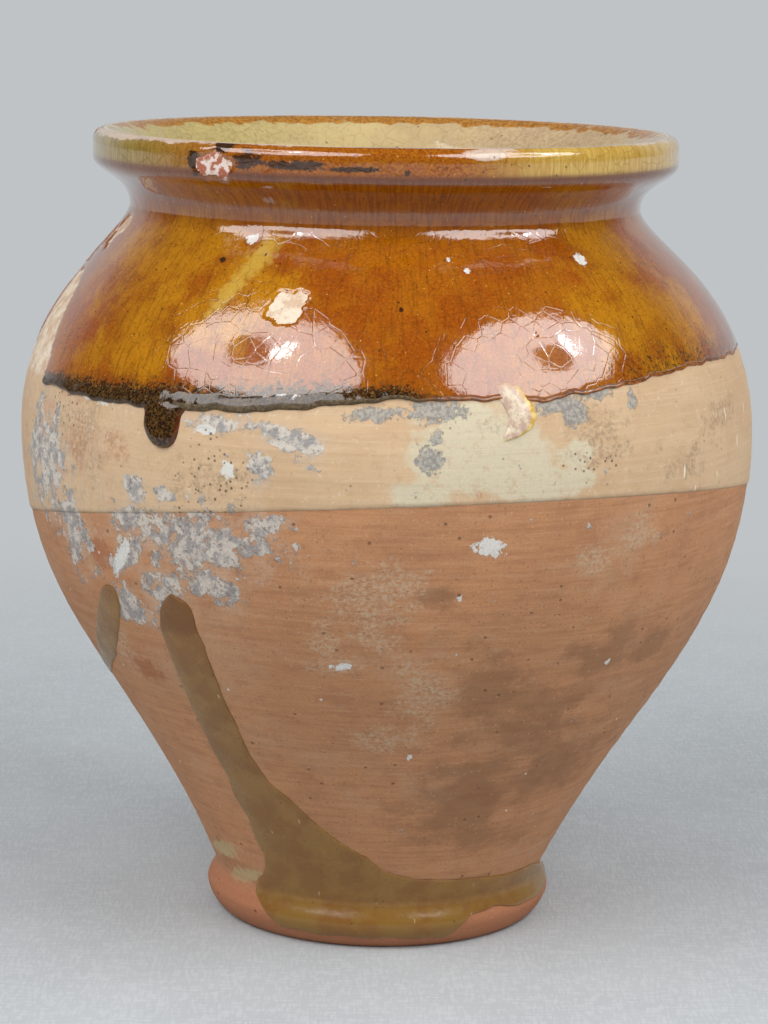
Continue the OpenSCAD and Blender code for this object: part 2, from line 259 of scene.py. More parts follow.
def glaze_edge(a):
    """Height of the amber glaze's lower edge: a dip that rises to the right, with its waves."""
    t = np.radians(a)
    small = 0.22 * np.sin(41 * t + 1) + 0.16 * np.sin(67 * t) + 0.1 * np.sin(113 * t + 2)
    waves = np.interp((a + 180) % 360 - 180, EDGE_A, EDGE_D)
    return 176.3 - 0.8 * np.cos(t) + 5.6 * np.sin(t) + waves + small


def flaked(a, z, p):
    """1 where the glaze has flaked off at the far left: between two leaning lines and two heights, ragged."""
    near = np.interp(z, [166, 171, 178, 186, 192, 198, 203], [-64, -66.5, -67.5, -69.5, -71.5, -74, -80])
    far = -92 + 6 * np.sin(z / 7)
    r = np.interp(z, OUTER.z, OUTER.r)
    inside = np.minimum(np.minimum((near - a) * r / 57.3, (a - far) * r / 57.3), 202 - z)
    upper = 3.2 * marks(a, z, [(-77, 215, 5, 5, -40), (-84, 209, 4, 7, -20)]) - 1.6
    return ease(np.maximum(inside, upper) + 1.3 * cloud(p, 4, 31, 3), -0.15, 0.45)


def chipped(a, z, p):
    """1 in the two chips, in the shoulder and in the lip, with ragged edges."""
    d = marks(a, z, [(-17.2, 200.3, 5.2, 4.4, 0), (-32.9, 238.6, 6.2, 3.9, 0), (-84, 243.4, 3.5, 1.3, 0)])
    return ease(d + 0.16 * cloud(p, 3.2, 21, 3), 0.48, 0.56)


# places of the marks on the wall: an angle, a height, half the width, half the height in mm, a tilt
LIME = [(-30, 134, 22, 9, 0), (-18, 141, 8, 3, 8), (-18, 134, 3, 2, 0), (-27, 122, 9, 5, -8),
        (-36, 117, 8, 7, -16),
        (-41, 138, 7, 4, 0), (-43, 126, 7, 3, 20), (-24, 168.5, 12, 2.4, 0), (-15, 166, 7, 3.5, -9),
        (-11, 163, 4, 4, 0), (-18, 157, 3, 5, 0), (-39, 147, 5, 4, 0), (-63, 150, 13, 15, 0),
        (-34, 147, 4, 2, 0),
        (-56, 132, 8, 12, 10), (-44, 110, 9, 5, -10),
        (-108, 142, 12, 12, 0), (142, 149, 11, 3, 6), (-160, 138, 7, 5, 0)]
SLATE = [(7, 174, 8, 3, 0), (7, 167, 2, 2, 0), (6, 161, 3.5, 3.5, 0), (25, 175.5, 5, 2.5, 10),
         (33, 178, 6, 2, 8),
         (28, 173, 4, 4, 0), (39, 174.5, 1.5, 3, 0), (-2, 173, 7, 2, 5),
         (118, 178, 9, 2.5, 5), (-158, 172, 8, 2.5, 0)]
WHITE = [(15, 136, 4.4, 2.7, -9), (-23, 156, 2, 2.5, 0), (-27, 166.5, 3.5, 1.5, 0), (-51, 172, 11, 1.6, -9),
         (-44, 126, 7.5, 2.2, 50), (-7, 99, 3.5, 1, 5), (5, 68, 1, 1, 0), (11, 121, 0.9, 0.8, 0),
         (41, 96, 1, 1, 0)]
CREAM = [(14, 163, 19, 14, 0), (23, 153, 15, 5, 5), (5, 151, 9, 4, 0), (28, 161, 6, 4, 0), (12, 172, 9, 5, 0)]
STAIN = [(32, 166, 9, 6, 0), (29, 173, 5, 5, 0), (15, 170, 3.5, 2.5, 0), (51, 155, 10, 5, 0),
         (31, 160, 8, 3.5, 0),
         (-25, 153, 12, 6, 0), (-52, 160, 12, 9, 0), (60, 166, 14, 4, 10),
         (158, 158, 14, 6, 0), (-138, 160, 12, 7, 0), (105, 160, 12, 5, 0)]
RUST = [(-43, 158, 6, 4, 0), (-64, 162, 8, 7, 0), (24, 163, 1.6, 0.9, 0), (13, 151, 1.3, 1.4, 0),
        (-49, 126, 6, 6, 0), (-48, 89, 7, 4, -10), (-52, 158, 8, 7, 0)]
SOOT = [(-25, 154, 11, 8, 0), (31, 159, 8, 3.5, 0), (-27, 164, 4, 2.5, 0), (-57, 168, 10, 8, 0),
        (-28, 139, 15, 7, 0), (-22, 129, 8, 6, 0)]
HAZE = [(-3, 120, 13, 9, 0), (2, 126, 8, 5, 0), (-7, 100, 9, 3, 5), (-2, 108, 9, 5, 0), (0, 74, 10, 4, 0),
        (5, 76, 1.6, 5, 0), (40, 137, 9, 5, 0), (-9, 108, 5, 6, 0), (6, 92, 8, 12, 0), (33, 130, 7, 4, 0),
        (-53, 97, 6, 9, 0),
        (150, 118, 14, 8, 0), (-148, 92, 12, 10, 0), (95, 112, 9, 7, 0)]
SMOKE = [(7, 121, 4.5, 3.5, 0), (17, 91, 9, 13, 0), (27, 78, 20, 16, 0), (19, 52, 13, 14, 0),
         (44, 60, 16, 12, 20),
         (38, 100, 16, 8, 10), (52, 100, 8, 5, 0),
         (27, 36, 16, 5, 0), (172, 70, 18, 14, 0), (-118, 62, 14, 12, 0), (108, 84, 13, 11, 0)]
WASH = [(-60, 24, 10, 2.6, 12), (-52, 17, 9, 2.4, 15)]
OCHRE = [(-47, 211, 24, 18, 0), (-44, 191, 20, 17, 0), (50, 194, 26, 14, 0), (50, 214, 18, 12, 0),
         (-28, 201, 17, 14, 0), (130, 205, 30, 16, 0)]
PALE = [(-25, 212, 3.2, 8, -34), (-28.5, 204, 2.4, 8, -30)]
SPECK = [(-28, 217, 2, 1.3, 0), (15, 210, 0.9, 0.8, 0), (12, 213, 0.6, 0.6, 0), (41, 212, 2, 1.5, 0)]
BURNT = [(-33, 211, 0.9, 0.7, 0), (-24, 213, 0.6, 0.6, 0), (2, 200, 0.7, 0.6, 0),
         (4, 238, 0.8, 0.8, 0), (-31, 243.6, 4, 1.6, 0), (-37.5, 239.5, 2, 3.2, 0), (-26, 240.6, 5, 2.4, 0),
         (-17, 239.6, 11, 1.4, 0), (-6, 239, 8, 0.8, 0), (19, 176, 5, 2, 0)]


# finishes
def paint(r, g, b):
    """Shader colour from the 0 to 255 values that it should show: the screen's curve undone."""
    c = np.array([r, g, b]) / 255
    return (*np.where(c > 0.04045, ((c + 0.055) / 1.055) ** 2.4, c / 12.92), 1.0)


# the clear top of a glossy glaze
GLOSSY = {"Coat Weight": 0.7, "Coat Roughness": 0.04, "Coat IOR": 1.6}


class Finish:
    """One procedural finish. Its patterns read the piece's own coordinates in millimetres and its fields."""

    def __init__(self, name, rough, **sockets):
        self.material = bpy.data.materials.new(name)
        self.material.use_nodes = True
        self.tree = self.material.node_tree
        self.shader = self.tree.nodes["Principled BSDF"]
        self.shader.inputs["Roughness"].default_value = rough
        for key, value in sockets.items():
            self.shader.inputs[key].default_value = value
        here = self.tree.nodes.new("ShaderNodeTexCoord").outputs["Object"]
        self.mm = self.vector("MULTIPLY", here, (1000, 1000, 1000))
        level = self.vector("NORMALIZE", self.vector("MULTIPLY", here, (1, 1, 0)))
        height = self.vector("MULTIPLY", here, (0, 0, 1000))
        self.round = self.vector("MULTIPLY_ADD", level, (100, 100, 0), height)

    def plug(self, socket, value):
        """Links a node's output to a socket, or writes a plain value on it."""
        if isinstance(value, bpy.types.NodeSocket):
            self.tree.links.new(value, socket)
        else:
            socket.default_value = value

    def vector(self, work, *values):
        """One vector sum of a named kind."""
        node = self.tree.nodes.new("ShaderNodeVectorMath")
        node.operation = work
        for socket, value in zip(node.inputs, values):
            self.plug(socket, value)
        return node.outputs[0]

    def math(self, work, *values):
        """One sum of single numbers, of a named kind."""
        node = self.tree.nodes.new("ShaderNodeMath")
        node.operation = work
        for socket, value in zip(node.inputs, values):
            self.plug(socket, value)
        return node.outputs[0]

    def length(self, value):
        """Length of a vector."""
        node = self.tree.nodes.new("ShaderNodeVectorMath")
        node.operation = "LENGTH"
        self.plug(node.inputs[0], value)
        return node.outputs["Value"]

    def times(self, a, b):
        return self.math("MULTIPLY", a, b)

    def plus(self, a, b):
        return self.math("ADD", a, b)

    def field(self, name):
        """A field that the piece's mesh carries at its points."""
        node = self.tree.nodes.new("ShaderNodeAttribute")
        node.attribute_name = name
        return node.outputs["Fac"]

    def spot(self, size, stretch, seed, where):
        """Coordinates in which a feature of a size in mm is 1 across, drawn out along the axes by stretch."""
        scale = tuple(1 / (size * s) for s in stretch)
        return self.vector("MULTIPLY_ADD", where or self.mm, scale, (3.1 * seed, 5.3 * seed, 7.7 * seed))

    def noise(self, size, detail=3, rough=0.55, stretch=(1, 1, 1), seed=0, where=None):
        """Cloudy noise from 0 to 1 with features of a size in mm."""
        node = self.tree.nodes.new("ShaderNodeTexNoise")
        self.plug(node.inputs["Vector"], self.spot(size, stretch, seed, where))
        node.inputs["Scale"].default_value = 1
        node.inputs["Detail"].default_value = detail
        node.inputs["Roughness"].default_value = rough
        return node.outputs["Fac"]

    def cells(self, size, feature, seed=0, stretch=(1, 1, 1), where=None):
        """Cells of a size in mm: the distance to a cell's middle or to its edge, and its own colour."""
        node = self.tree.nodes.new("ShaderNodeTexVoronoi")
        node.feature = feature
        self.plug(node.inputs["Vector"], self.spot(size, stretch, seed, where))
        node.inputs["Scale"].default_value = 1
        return node.outputs

    def specks(self, size, share, reach, seed=0, stretch=(1, 1, 1), where=None):
        """Round specks: the share of the cells that carry one, and how far it reaches across its cell."""
        cell = self.cells(size, "F1", seed, stretch, where)
        split = self.tree.nodes.new("ShaderNodeSeparateColor")
        self.plug(split.inputs[0], cell["Color"])
        near = self.step(cell["Distance"], reach, 0.55 * reach)
        return self.times(near, self.math("LESS_THAN", split.outputs[0], share))

    def step(self, x, low, high, top=1.0):
        """0 at low, top at high, with a smooth step between."""
        node = self.tree.nodes.new("ShaderNodeMapRange")
        node.interpolation_type = "SMOOTHSTEP"
        for socket, value in zip(node.inputs, (x, low, high, 0.0, top)):
            self.plug(socket, value)
        return node.outputs[0]

    def ragged(self, mask, noise, low=0.44, high=0.56, top=1.0, pull=1.1):
        """A soft mask made ragged: noise around its middle moves the edge in and out."""
        return self.step(self.plus(mask, self.times(self.plus(noise, -0.5), pull)), low, high, top)

    def mix(self, share, below, above, blend="MIX"):
        """One colour laid over another by a share from 0 to 1."""
        node = self.tree.nodes.new("ShaderNodeMix")
        node.data_type = "RGBA"
        node.blend_type = blend
        for socket, value in zip((node.inputs[0], node.inputs[6], node.inputs[7]), (share, below, above)):
            self.plug(socket, value)
        return node.outputs[2]

    def relief(self, height, depth):
        """Fine relief in the shading; depth is how far in mm it goes from 0 to 1."""
        node = self.tree.nodes.new("ShaderNodeBump")
        node.inputs["Strength"].default_value = 1
        node.inputs["Distance"].default_value = depth / 1000
        self.plug(node.inputs["Height"], height)
        self.plug(self.shader.inputs["Normal"], node.outputs[0])
        self.plug(self.shader.inputs["Coat Normal"], node.outputs[0])

    def done(self, color, rough=None):
        self.plug(self.shader.inputs["Base Color"], color)
        if rough is not None:
            self.plug(self.shader.inputs["Roughness"], rough)
        return self.material


def limed(f, color, mask):
    """Lime crust over a colour: grey, white and bluish scale with dark spots, ragged at every size."""
    grit = f.noise(6, 7, 0.7, seed=40)
    veil = f.ragged(mask, f.noise(7, 6, 0.7, seed=44), 0.2, 0.8, 0.5, 1.8)
    color = f.mix(veil, color, paint(202, 178, 156))
    cover = f.ragged(mask, grit, 0.5, 0.6, 0.9, 3.0)
    patches = f.step(f.noise(3.4, 4, 0.6, seed=41), 0.42, 0.58)
    scale = f.mix(patches, paint(148, 148, 148), paint(207, 199, 188))
    scale = f.mix(f.step(f.noise(1.2, 3, 0.6, seed=42), 0.57, 0.66, 0.75), scale, paint(100, 92, 90))
    scale = f.mix(f.step(f.noise(0.8, 2, 0.6, seed=43), 0.6, 0.7, 0.6), scale, paint(226, 221, 212))
    return f.mix(cover, color, scale), cover


def clay_finish():
    """Fired clay: a warm pinkish brown with level streaks, pale haze, smoke, pits, grog and lime."""
    f = Finish("fired_clay", 0.86)
    lines = f.noise(1.3, 5, 0.7, (18, 18, 1), 2)
    grain = f.noise(0.5, 2, 0.6, seed=3)
    mottle = f.noise(4.5, 5, 0.65, (1.6, 1.6, 1), 4)
    color = f.mix(f.step(f.noise(36, 4), 0.4, 0.6), paint(186, 132, 91), paint(194, 138, 95))
    color = f.mix(f.step(mottle, 0.44, 0.68, 0.45), color, paint(162, 112, 78))
    color = f.mix(f.step(lines, 0.5, 0.66, 0.4), color, paint(200, 154, 117))
    color = f.mix(f.step(lines, 0.5, 0.36, 0.3), color, paint(154, 102, 72))
    dusty = f.step(f.noise(22, 6, 0.7, (1.3, 1.3, 1), 21), 0.5, 0.68, 0.4)
    color = f.mix(dusty, color, paint(190, 154, 122))
    smoke = f.ragged(f.field("smoke"), f.noise(11, 6, 0.7, (1.5, 1.5, 1), 5), 0.2, 0.85, 0.62, 2.6)
    color = f.mix(smoke, color, f.mix(f.step(mottle, 0.4, 0.65), paint(132, 90, 60), paint(150, 110, 76)))
    haze = f.ragged(f.field("haze"), f.noise(6, 7, 0.8, (1.8, 1.8, 1), 6), 0.3, 0.85, 0.85, 3.0)
    dust = f.step(f.noise(1.0, 4, 0.75, (1.4, 1.4, 1), 20), 0.42, 0.6)
    haze = f.times(haze, dust)
    color = f.mix(haze, color, paint(196, 168, 138))
    rust = f.ragged(f.field("rust"), f.noise(3, 4, seed=7), 0.4, 0.7, 0.6)
    color = f.mix(rust, color, paint(160, 92, 58))
    wash = f.ragged(f.field("wash"), f.noise(2, 4, 0.6, seed=8), 0.42, 0.58, 0.75)
    color = f.mix(wash, color, paint(190, 172, 128))
    color = f.mix(f.times(f.field("foot"), 0.8), color, paint(172, 108, 74))
    color, crust = limed(f, color, f.field("lime"))
    white = f.ragged(f.field("white"), f.noise(1.6, 4, 0.65, seed=9), 0.46, 0.54, 0.95)
    color = f.mix(white, color, paint(222, 220, 214))
    chip = f.mix(f.step(f.noise(1.6, 3, seed=10), 0.42, 0.52), paint(168, 84, 60), paint(224, 204, 190))
    color = f.mix(f.field("chip"), color, chip)
    pits = f.specks(4.2, 0.2, 0.14, 11)
    color = f.mix(f.times(pits, 0.55), color, paint(84, 54, 38))
    color = f.mix(f.times(f.specks(5.5, 0.16, 0.1, 12), 0.9), color, paint(226, 214, 200))
    color = f.mix(f.times(f.specks(1.7, 0.35, 0.3, 13), 0.3), color, paint(118, 78, 56))
    color = f.mix(f.times(f.specks(2.1, 0.3, 0.25, 14), 0.35), color, paint(206, 164, 130))
    color = f.mix(f.step(grain, 0.35, 0.65, 0.22), color, paint(132, 92, 68))
    height = f.plus(f.plus(f.times(lines, 0.5), f.times(grain, 0.35)), f.times(f.plus(crust, white), 0.8))
    f.relief(f.plus(height, f.times(pits, -2.2)), 0.16)
    return f.done(color)


def slip_finish():
    """White slip fired peach: cream where it lay thick, with lime, slate, stains, soot and scratches."""
    f = Finish("fired_slip", 0.72)
    lines = f.noise(0.9, 4, 0.7, (26, 26, 1), 2)
    blotch = f.noise(7, 5, 0.6, seed=3)
    color = f.mix(f.step(f.noise(28, 3), 0.4, 0.6), paint(203, 168, 130), paint(210, 177, 139))
    cream = f.ragged(f.field("cream"), blotch, 0.38, 0.62, 0.95, 0.9)
    color = f.mix(cream, color, paint(211, 199, 170))
    color = f.mix(f.step(lines, 0.5, 0.68, 0.3), color, paint(222, 198, 164))
    color = f.mix(f.step(lines, 0.46, 0.34, 0.2), color, paint(186, 148, 116))
    upright = f.noise(1.1, 4, 0.65, (1, 1, 9), 4, f.round)
    left = f.field("weather")
    color = f.mix(f.times(left, f.step(upright, 0.44, 0.68, 0.6)), color, paint(176, 162, 146))
    color = f.mix(f.times(left, f.step(blotch, 0.5, 0.36, 0.55)), color, paint(196, 146, 116))
    color = f.mix(f.step(f.noise(3, 6, 0.75, seed=18), 0.52, 0.68, 0.4), color, paint(186, 146, 112))
    color = f.mix(f.step(f.noise(1.6, 5, 0.7, seed=19), 0.58, 0.68, 0.45), color, paint(228, 208, 180))
    stain = f.ragged(f.field("stain"), f.noise(6, 7, 0.75, seed=5), 0.35, 0.85, 0.75, 3.4)
    stain = f.times(stain, f.step(f.noise(1.2, 4, 0.75, seed=20), 0.4, 0.6))
    color = f.mix(stain, color, paint(160, 134, 104))
    rust = f.ragged(f.field("rust"), f.noise(4, 6, 0.75, (1, 1, 2), 6), 0.4, 0.8, 0.6, 2.6)
    rust = f.times(rust, f.step(f.noise(1.4, 4, 0.75, seed=22), 0.42, 0.6))
    color = f.mix(rust, color, paint(178, 118, 86))
    slate = f.ragged(f.field("slate"), f.noise(2.2, 6, 0.72, seed=7), 0.47, 0.54, 0.9, 1.8)
    gray = f.mix(f.step(f.noise(1.1, 3, 0.6, seed=8), 0.4, 0.6), paint(132, 130, 128), paint(172, 168, 158))
    color = f.mix(slate, color, gray)
    color, crust = limed(f, color, f.field("lime"))
    white = f.ragged(f.field("white"), f.noise(1.5, 4, 0.65, seed=9), 0.46, 0.54, 0.9)
    color = f.mix(white, color, paint(220, 219, 212))
    sooty = f.ragged(f.field("soot"), f.noise(3, 4, seed=11), 0.35, 0.6)
    soot = f.times(f.specks(1.5, 0.62, 0.34, 10), sooty)
    color = f.mix(f.times(soot, 0.85), color, paint(74, 56, 48))
    color = f.mix(f.times(f.specks(3, 0.12, 0.16, 12), 0.6), color, paint(120, 92, 66))
    scratch = f.specks(3.2, 0.22, 0.16, 13, (1, 1, 5), f.round)
    color = f.mix(f.times(f.times(scratch, f.field("scratched")), 0.9), color, paint(240, 226, 202))
    color = f.mix(f.times(f.field("lip_edge"), 0.55), color, paint(150, 118, 88))
    grain = f.noise(0.45, 2, 0.6, seed=14)
    color = f.mix(f.step(grain, 0.4, 0.68, 0.16), color, paint(178, 148, 118))
    under = f.mix(f.step(f.noise(5, 5, 0.65, seed=15), 0.42, 0.6), paint(226, 208, 184), paint(204, 170, 140))
    under = f.mix(f.step(f.noise(1.3, 3, seed=16), 0.6, 0.66, 0.7), under, paint(156, 146, 138))
    color = f.mix(f.field("flake"), color, under)
    bare = f.mix(f.step(f.noise(2.2, 4, seed=17), 0.45, 0.53), paint(172, 98, 72), paint(226, 206, 194))
    color = f.mix(f.field("chip"), color, bare)
    height = f.plus(f.plus(f.times(lines, 0.5), f.times(grain, 0.3)), f.times(f.plus(crust, slate), 0.7))
    f.relief(height, 0.12)
    return f.done(color)


def amber_finish():
    """Amber lead glaze over slip: orange to ochre, dark where thick, darker brown in the neck under the lip
    from pooled glaze and painted shade, speckled, crazed, glossy and uneven.
    """
    f = Finish("amber_glaze_finish", 0.09, IOR=1.64, **GLOSSY)
    upright = f.noise(1.0, 4, 0.65, (1, 1, 7), 1, f.round)
    fine = f.noise(0.7, 4, 0.7, seed=2)
    cloudy = f.noise(14, 5, 0.62, seed=3)
    ochre = f.ragged(f.field("ochre"), cloudy, 0.3, 0.75, 1.0, 1.4)
    color = f.mix(ochre, f.mix(f.step(cloudy, 0.4, 0.62), paint(152, 74, 5), paint(166, 94, 8)),
                  f.mix(f.step(cloudy, 0.4, 0.6), paint(162, 98, 6), paint(184, 120, 10)))
    color = f.mix(f.step(upright, 0.5, 0.64, 0.42), color, paint(112, 58, 5))
    color = f.mix(f.step(fine, 0.52, 0.64, 0.5), color, paint(84, 46, 6))
    color = f.mix(f.step(fine, 0.45, 0.33, 0.4), color, paint(196, 124, 24))
    pale = f.ragged(f.field("pale"), f.noise(2.5, 4, 0.6, seed=4), 0.3, 0.75, 0.8)
    color = f.mix(pale, color, paint(198, 158, 62))
    # neck: darker brown under the lip, partly pooled glaze and partly painted shade
    neck = f.field("neck")
    brown = f.mix(f.step(upright, 0.42, 0.6), paint(152, 84, 4), paint(120, 58, 2))
    color = f.mix(f.times(neck, 0.72), color, brown)
    lip = f.field("lip")
    olive = f.mix(f.step(upright, 0.32, 0.7), paint(158, 134, 62), paint(132, 104, 38))
    yellow = f.mix(f.step(upright, 0.32, 0.7), paint(206, 172, 88), paint(182, 138, 54))
    orange = f.mix(f.step(fine, 0.42, 0.6), paint(168, 98, 12), paint(136, 66, 6))
    face = f.mix(f.field("lip_left"), f.mix(f.field("lip_right"), orange, yellow), olive)
    color = f.mix(lip, color, face)
    line = f.field("lip_line")
    color = f.mix(f.times(line, 0.75), color, paint(84, 34, 8))
    dark = f.ragged(f.field("dark"), f.noise(1.3, 5, 0.75, seed=5), 0.36, 0.66, 0.95, 1.6)
    color = f.mix(dark, color, f.mix(f.step(fine, 0.5, 0.64), paint(44, 24, 8), paint(134, 102, 48)))
    # rim ridge whitened: worn glaze and a painted highlight along the ridge
    rim_wear_and_highlight = f.ragged(f.field("rim_wear_and_highlight"), f.noise(2, 5, 0.7, (4, 4, 1), 6), 0.42, 0.6, 0.85, 1.4)
    color = f.mix(rim_wear_and_highlight, color, paint(212, 186, 166))
    burnt = f.ragged(f.field("burnt"), f.noise(1.8, 6, 0.75, (2, 2, 1), 7), 0.42, 0.66, 0.9, 1.8)
    color = f.mix(burnt, color, paint(30, 16, 10))
    white = f.ragged(f.field("speck"), f.noise(1, 3, seed=8), 0.44, 0.56, 0.95, 0.8)
    color = f.mix(white, color, paint(226, 222, 214))
    color = f.mix(f.times(f.specks(1.6, 0.22, 0.15, 9), 0.75), color, paint(226, 170, 84))
    color = f.mix(f.times(f.specks(2.6, 0.16, 0.17, 10), 0.8), color, paint(60, 30, 6))
    crack = f.step(f.cells(5.2, "DISTANCE_TO_EDGE", 11)["Distance"], 0.05, 0.0)
    color = f.mix(f.times(crack, 0.24), color, paint(84, 40, 8))
    wavy = f.noise(3.2, 3, 0.5, seed=12)
    height = f.plus(f.plus(f.times(wavy, 0.6), f.times(fine, 0.06)), f.times(crack, -0.12))
    f.relief(height, 0.11)
    rough = f.plus(f.step(f.noise(11, 4, seed=13), 0.45, 0.7, 0.06), f.times(f.plus(white, rim_wear_and_highlight), 0.4))
    return f.done(color, f.plus(rough, 0.07))


def pooled_finish():
    """Glaze pooled thick: almost black brown, granular gold along its foot, amber where it runs thin."""
    f = Finish("pooled_glaze_finish", 0.12, IOR=1.6)
    grit = f.noise(0.9, 4, 0.75, seed=1)
    color = f.mix(f.step(grit, 0.44, 0.6), paint(34, 20, 8), paint(92, 62, 26))
    color = f.mix(f.times(f.specks(1.1, 0.4, 0.28, 2), 0.4), color, paint(150, 118, 58))
    gold = f.ragged(f.field("gold"), grit, 0.4, 0.6, 0.9, 1.2)
    color = f.mix(gold, color, f.mix(f.step(grit, 0.4, 0.58), paint(112, 90, 50), paint(60, 42, 18)))
    rim = f.mix(f.step(grit, 0.4, 0.6), paint(116, 50, 14), paint(66, 26, 8))
    color = f.mix(f.times(f.field("rim"), 0.85), color, rim)
    thin = f.mix(f.step(f.noise(2, 4, 0.6, seed=3), 0.42, 0.6), paint(150, 84, 22), paint(104, 60, 26))
    color = f.mix(f.field("thin"), color, thin)
    f.relief(f.plus(f.times(f.noise(2.2, 2, seed=4), 0.5), f.times(grit, 0.05)), 0.14)
    return f.done(color, f.plus(f.times(gold, 0.55), 0.09))


def milky_finish():
    """Thin milky drip: lilac pink and white clouds with a clear yellow rim."""
    f = Finish("milky_glaze_finish", 0.16, IOR=1.52)
    milk = f.noise(2.2, 4, 0.65, seed=1)
    color = f.mix(f.step(milk, 0.42, 0.6), paint(196, 164, 146), paint(220, 202, 174))
    color = f.mix(f.step(f.noise(1.2, 4, 0.7, seed=2), 0.58, 0.68, 0.5), color, paint(150, 116, 104))
    rim = f.mix(f.step(milk, 0.4, 0.6), paint(214, 166, 62), paint(234, 206, 128))
    color = f.mix(f.field("rim"), color, rim)
    color = f.mix(f.times(f.field("root"), 0.7), color, paint(178, 112, 40))
    f.relief(f.noise(1.8, 3, seed=3), 0.12)
    return f.done(color)


def olive_finish():
    """Kiln-starved olive run: brown olive, yellow green where it is thick, half dull, with pale scratches."""
    f = Finish("olive_run_finish", 0.36, IOR=1.5)
    tone = f.noise(9, 4, 0.6, seed=1)
    fine = f.noise(0.8, 4, 0.65, (1, 1, 2.5), 2)
    color = f.mix(f.step(tone, 0.42, 0.6), paint(134, 91, 40), paint(148, 106, 52))
    color = f.mix(f.step(fine, 0.5, 0.68, 0.35), color, paint(110, 76, 42))
    color = f.mix(f.times(f.field("green"), f.step(tone, 0.36, 0.6)), color, paint(138, 102, 44))
    # gray: greyish edge of the long run and the foot pool's right, and painted sheen on the short run's tail
    color = f.mix(f.times(f.field("gray"), 0.7), color, paint(146, 126, 92))
    color = f.mix(f.times(f.field("head"), 0.8), color, paint(112, 68, 18))
    scratch = f.specks(3, 0.22, 0.12, 3, (1, 1, 2.6), f.round)
    color = f.mix(f.times(scratch, 0.75), color, paint(206, 186, 150))
    color = f.mix(f.times(f.specks(2.4, 0.14, 0.18, 4), 0.6), color, paint(58, 36, 20))
    wax = f.field("wax")
    f.relief(f.plus(f.noise(2.4, 3, seed=5), f.times(fine, 0.3)), 0.1)
    dull = f.plus(f.step(f.noise(5, 4, seed=6), 0.4, 0.7, 0.14), 0.27)
    return f.done(color, f.math("SUBTRACT", dull, f.times(wax, 0.12)))


def inner_finish():
    """Pale glaze inside: cream with yellow green and pinkish clouds, amber scallops below the rim, crazed."""
    f = Finish("inner_glaze_finish", 0.16, IOR=1.6)
    broad = f.noise(16, 4, 0.6, seed=1)
    fine = f.noise(1.2, 4, 0.65, seed=2)
    color = f.mix(f.step(broad, 0.4, 0.6), paint(198, 175, 126), paint(188, 163, 120))
    green = f.mix(f.step(fine, 0.4, 0.6), paint(186, 172, 108), paint(164, 148, 84))
    color = f.mix(f.times(f.field("greenish"), 0.6), color, green)
    pink = f.mix(f.step(fine, 0.4, 0.6), paint(194, 166, 138), paint(168, 142, 112))
    color = f.mix(f.times(f.field("pinkish"), 0.6), color, pink)
    color = f.mix(f.step(fine, 0.54, 0.7, 0.4), color, paint(160, 130, 88))
    scallop = f.ragged(f.field("rim"), f.noise(7, 3, 0.5, (1, 1, 0.5), 3), 0.42, 0.6, 0.9, 1.5)
    color = f.mix(scallop, color, f.mix(f.step(fine, 0.4, 0.6), paint(182, 122, 34), paint(140, 82, 18)))
    # inner rim ridge whitened: worn glaze and a painted highlight along the ridge
    rim_wear_and_highlight = f.ragged(f.field("rim_wear_and_highlight"), f.noise(2, 5, 0.7, (4, 4, 1), 6), 0.4, 0.62, 0.85, 1.4)
    color = f.mix(rim_wear_and_highlight, color, paint(214, 190, 166))
    color = f.mix(f.times(f.specks(3.4, 0.2, 0.16, 4), 0.7), color, paint(112, 76, 40))
    crack = f.step(f.cells(6.5, "DISTANCE_TO_EDGE", 5)["Distance"], 0.03, 0.0)
    color = f.mix(f.times(crack, 0.3), color, paint(140, 104, 66))
    f.relief(f.plus(f.times(f.noise(3.5, 3, seed=6), 0.6), f.times(crack, -0.2)), 0.12)
    return f.done(color)


# the pieces
def throwing(a, z, p):
    """Low ridges left by the fingers: waves up the wall that climb slowly round it, fading in and out."""
    turn = a / 360
    wave = np.sin(2 * math.pi * (z / 6.4 + turn)) + 0.6 * np.sin(2 * math.pi * (z / 2.7 - turn))
    ridges = 0.06 * wave * (0.6 + 0.4 * cloud(p, 40, 3, 1))
    return ridges + 0.2 * cloud(p, 60, 5, 2) + 0.05 * cloud(p, 7, 6, 2)


def heights(low, high, count, last=False):
    """Lengths along the outline, evenly spaced between two heights."""
    return np.linspace(OUTER.of_height(low), OUTER.of_height(high), count, endpoint=last)


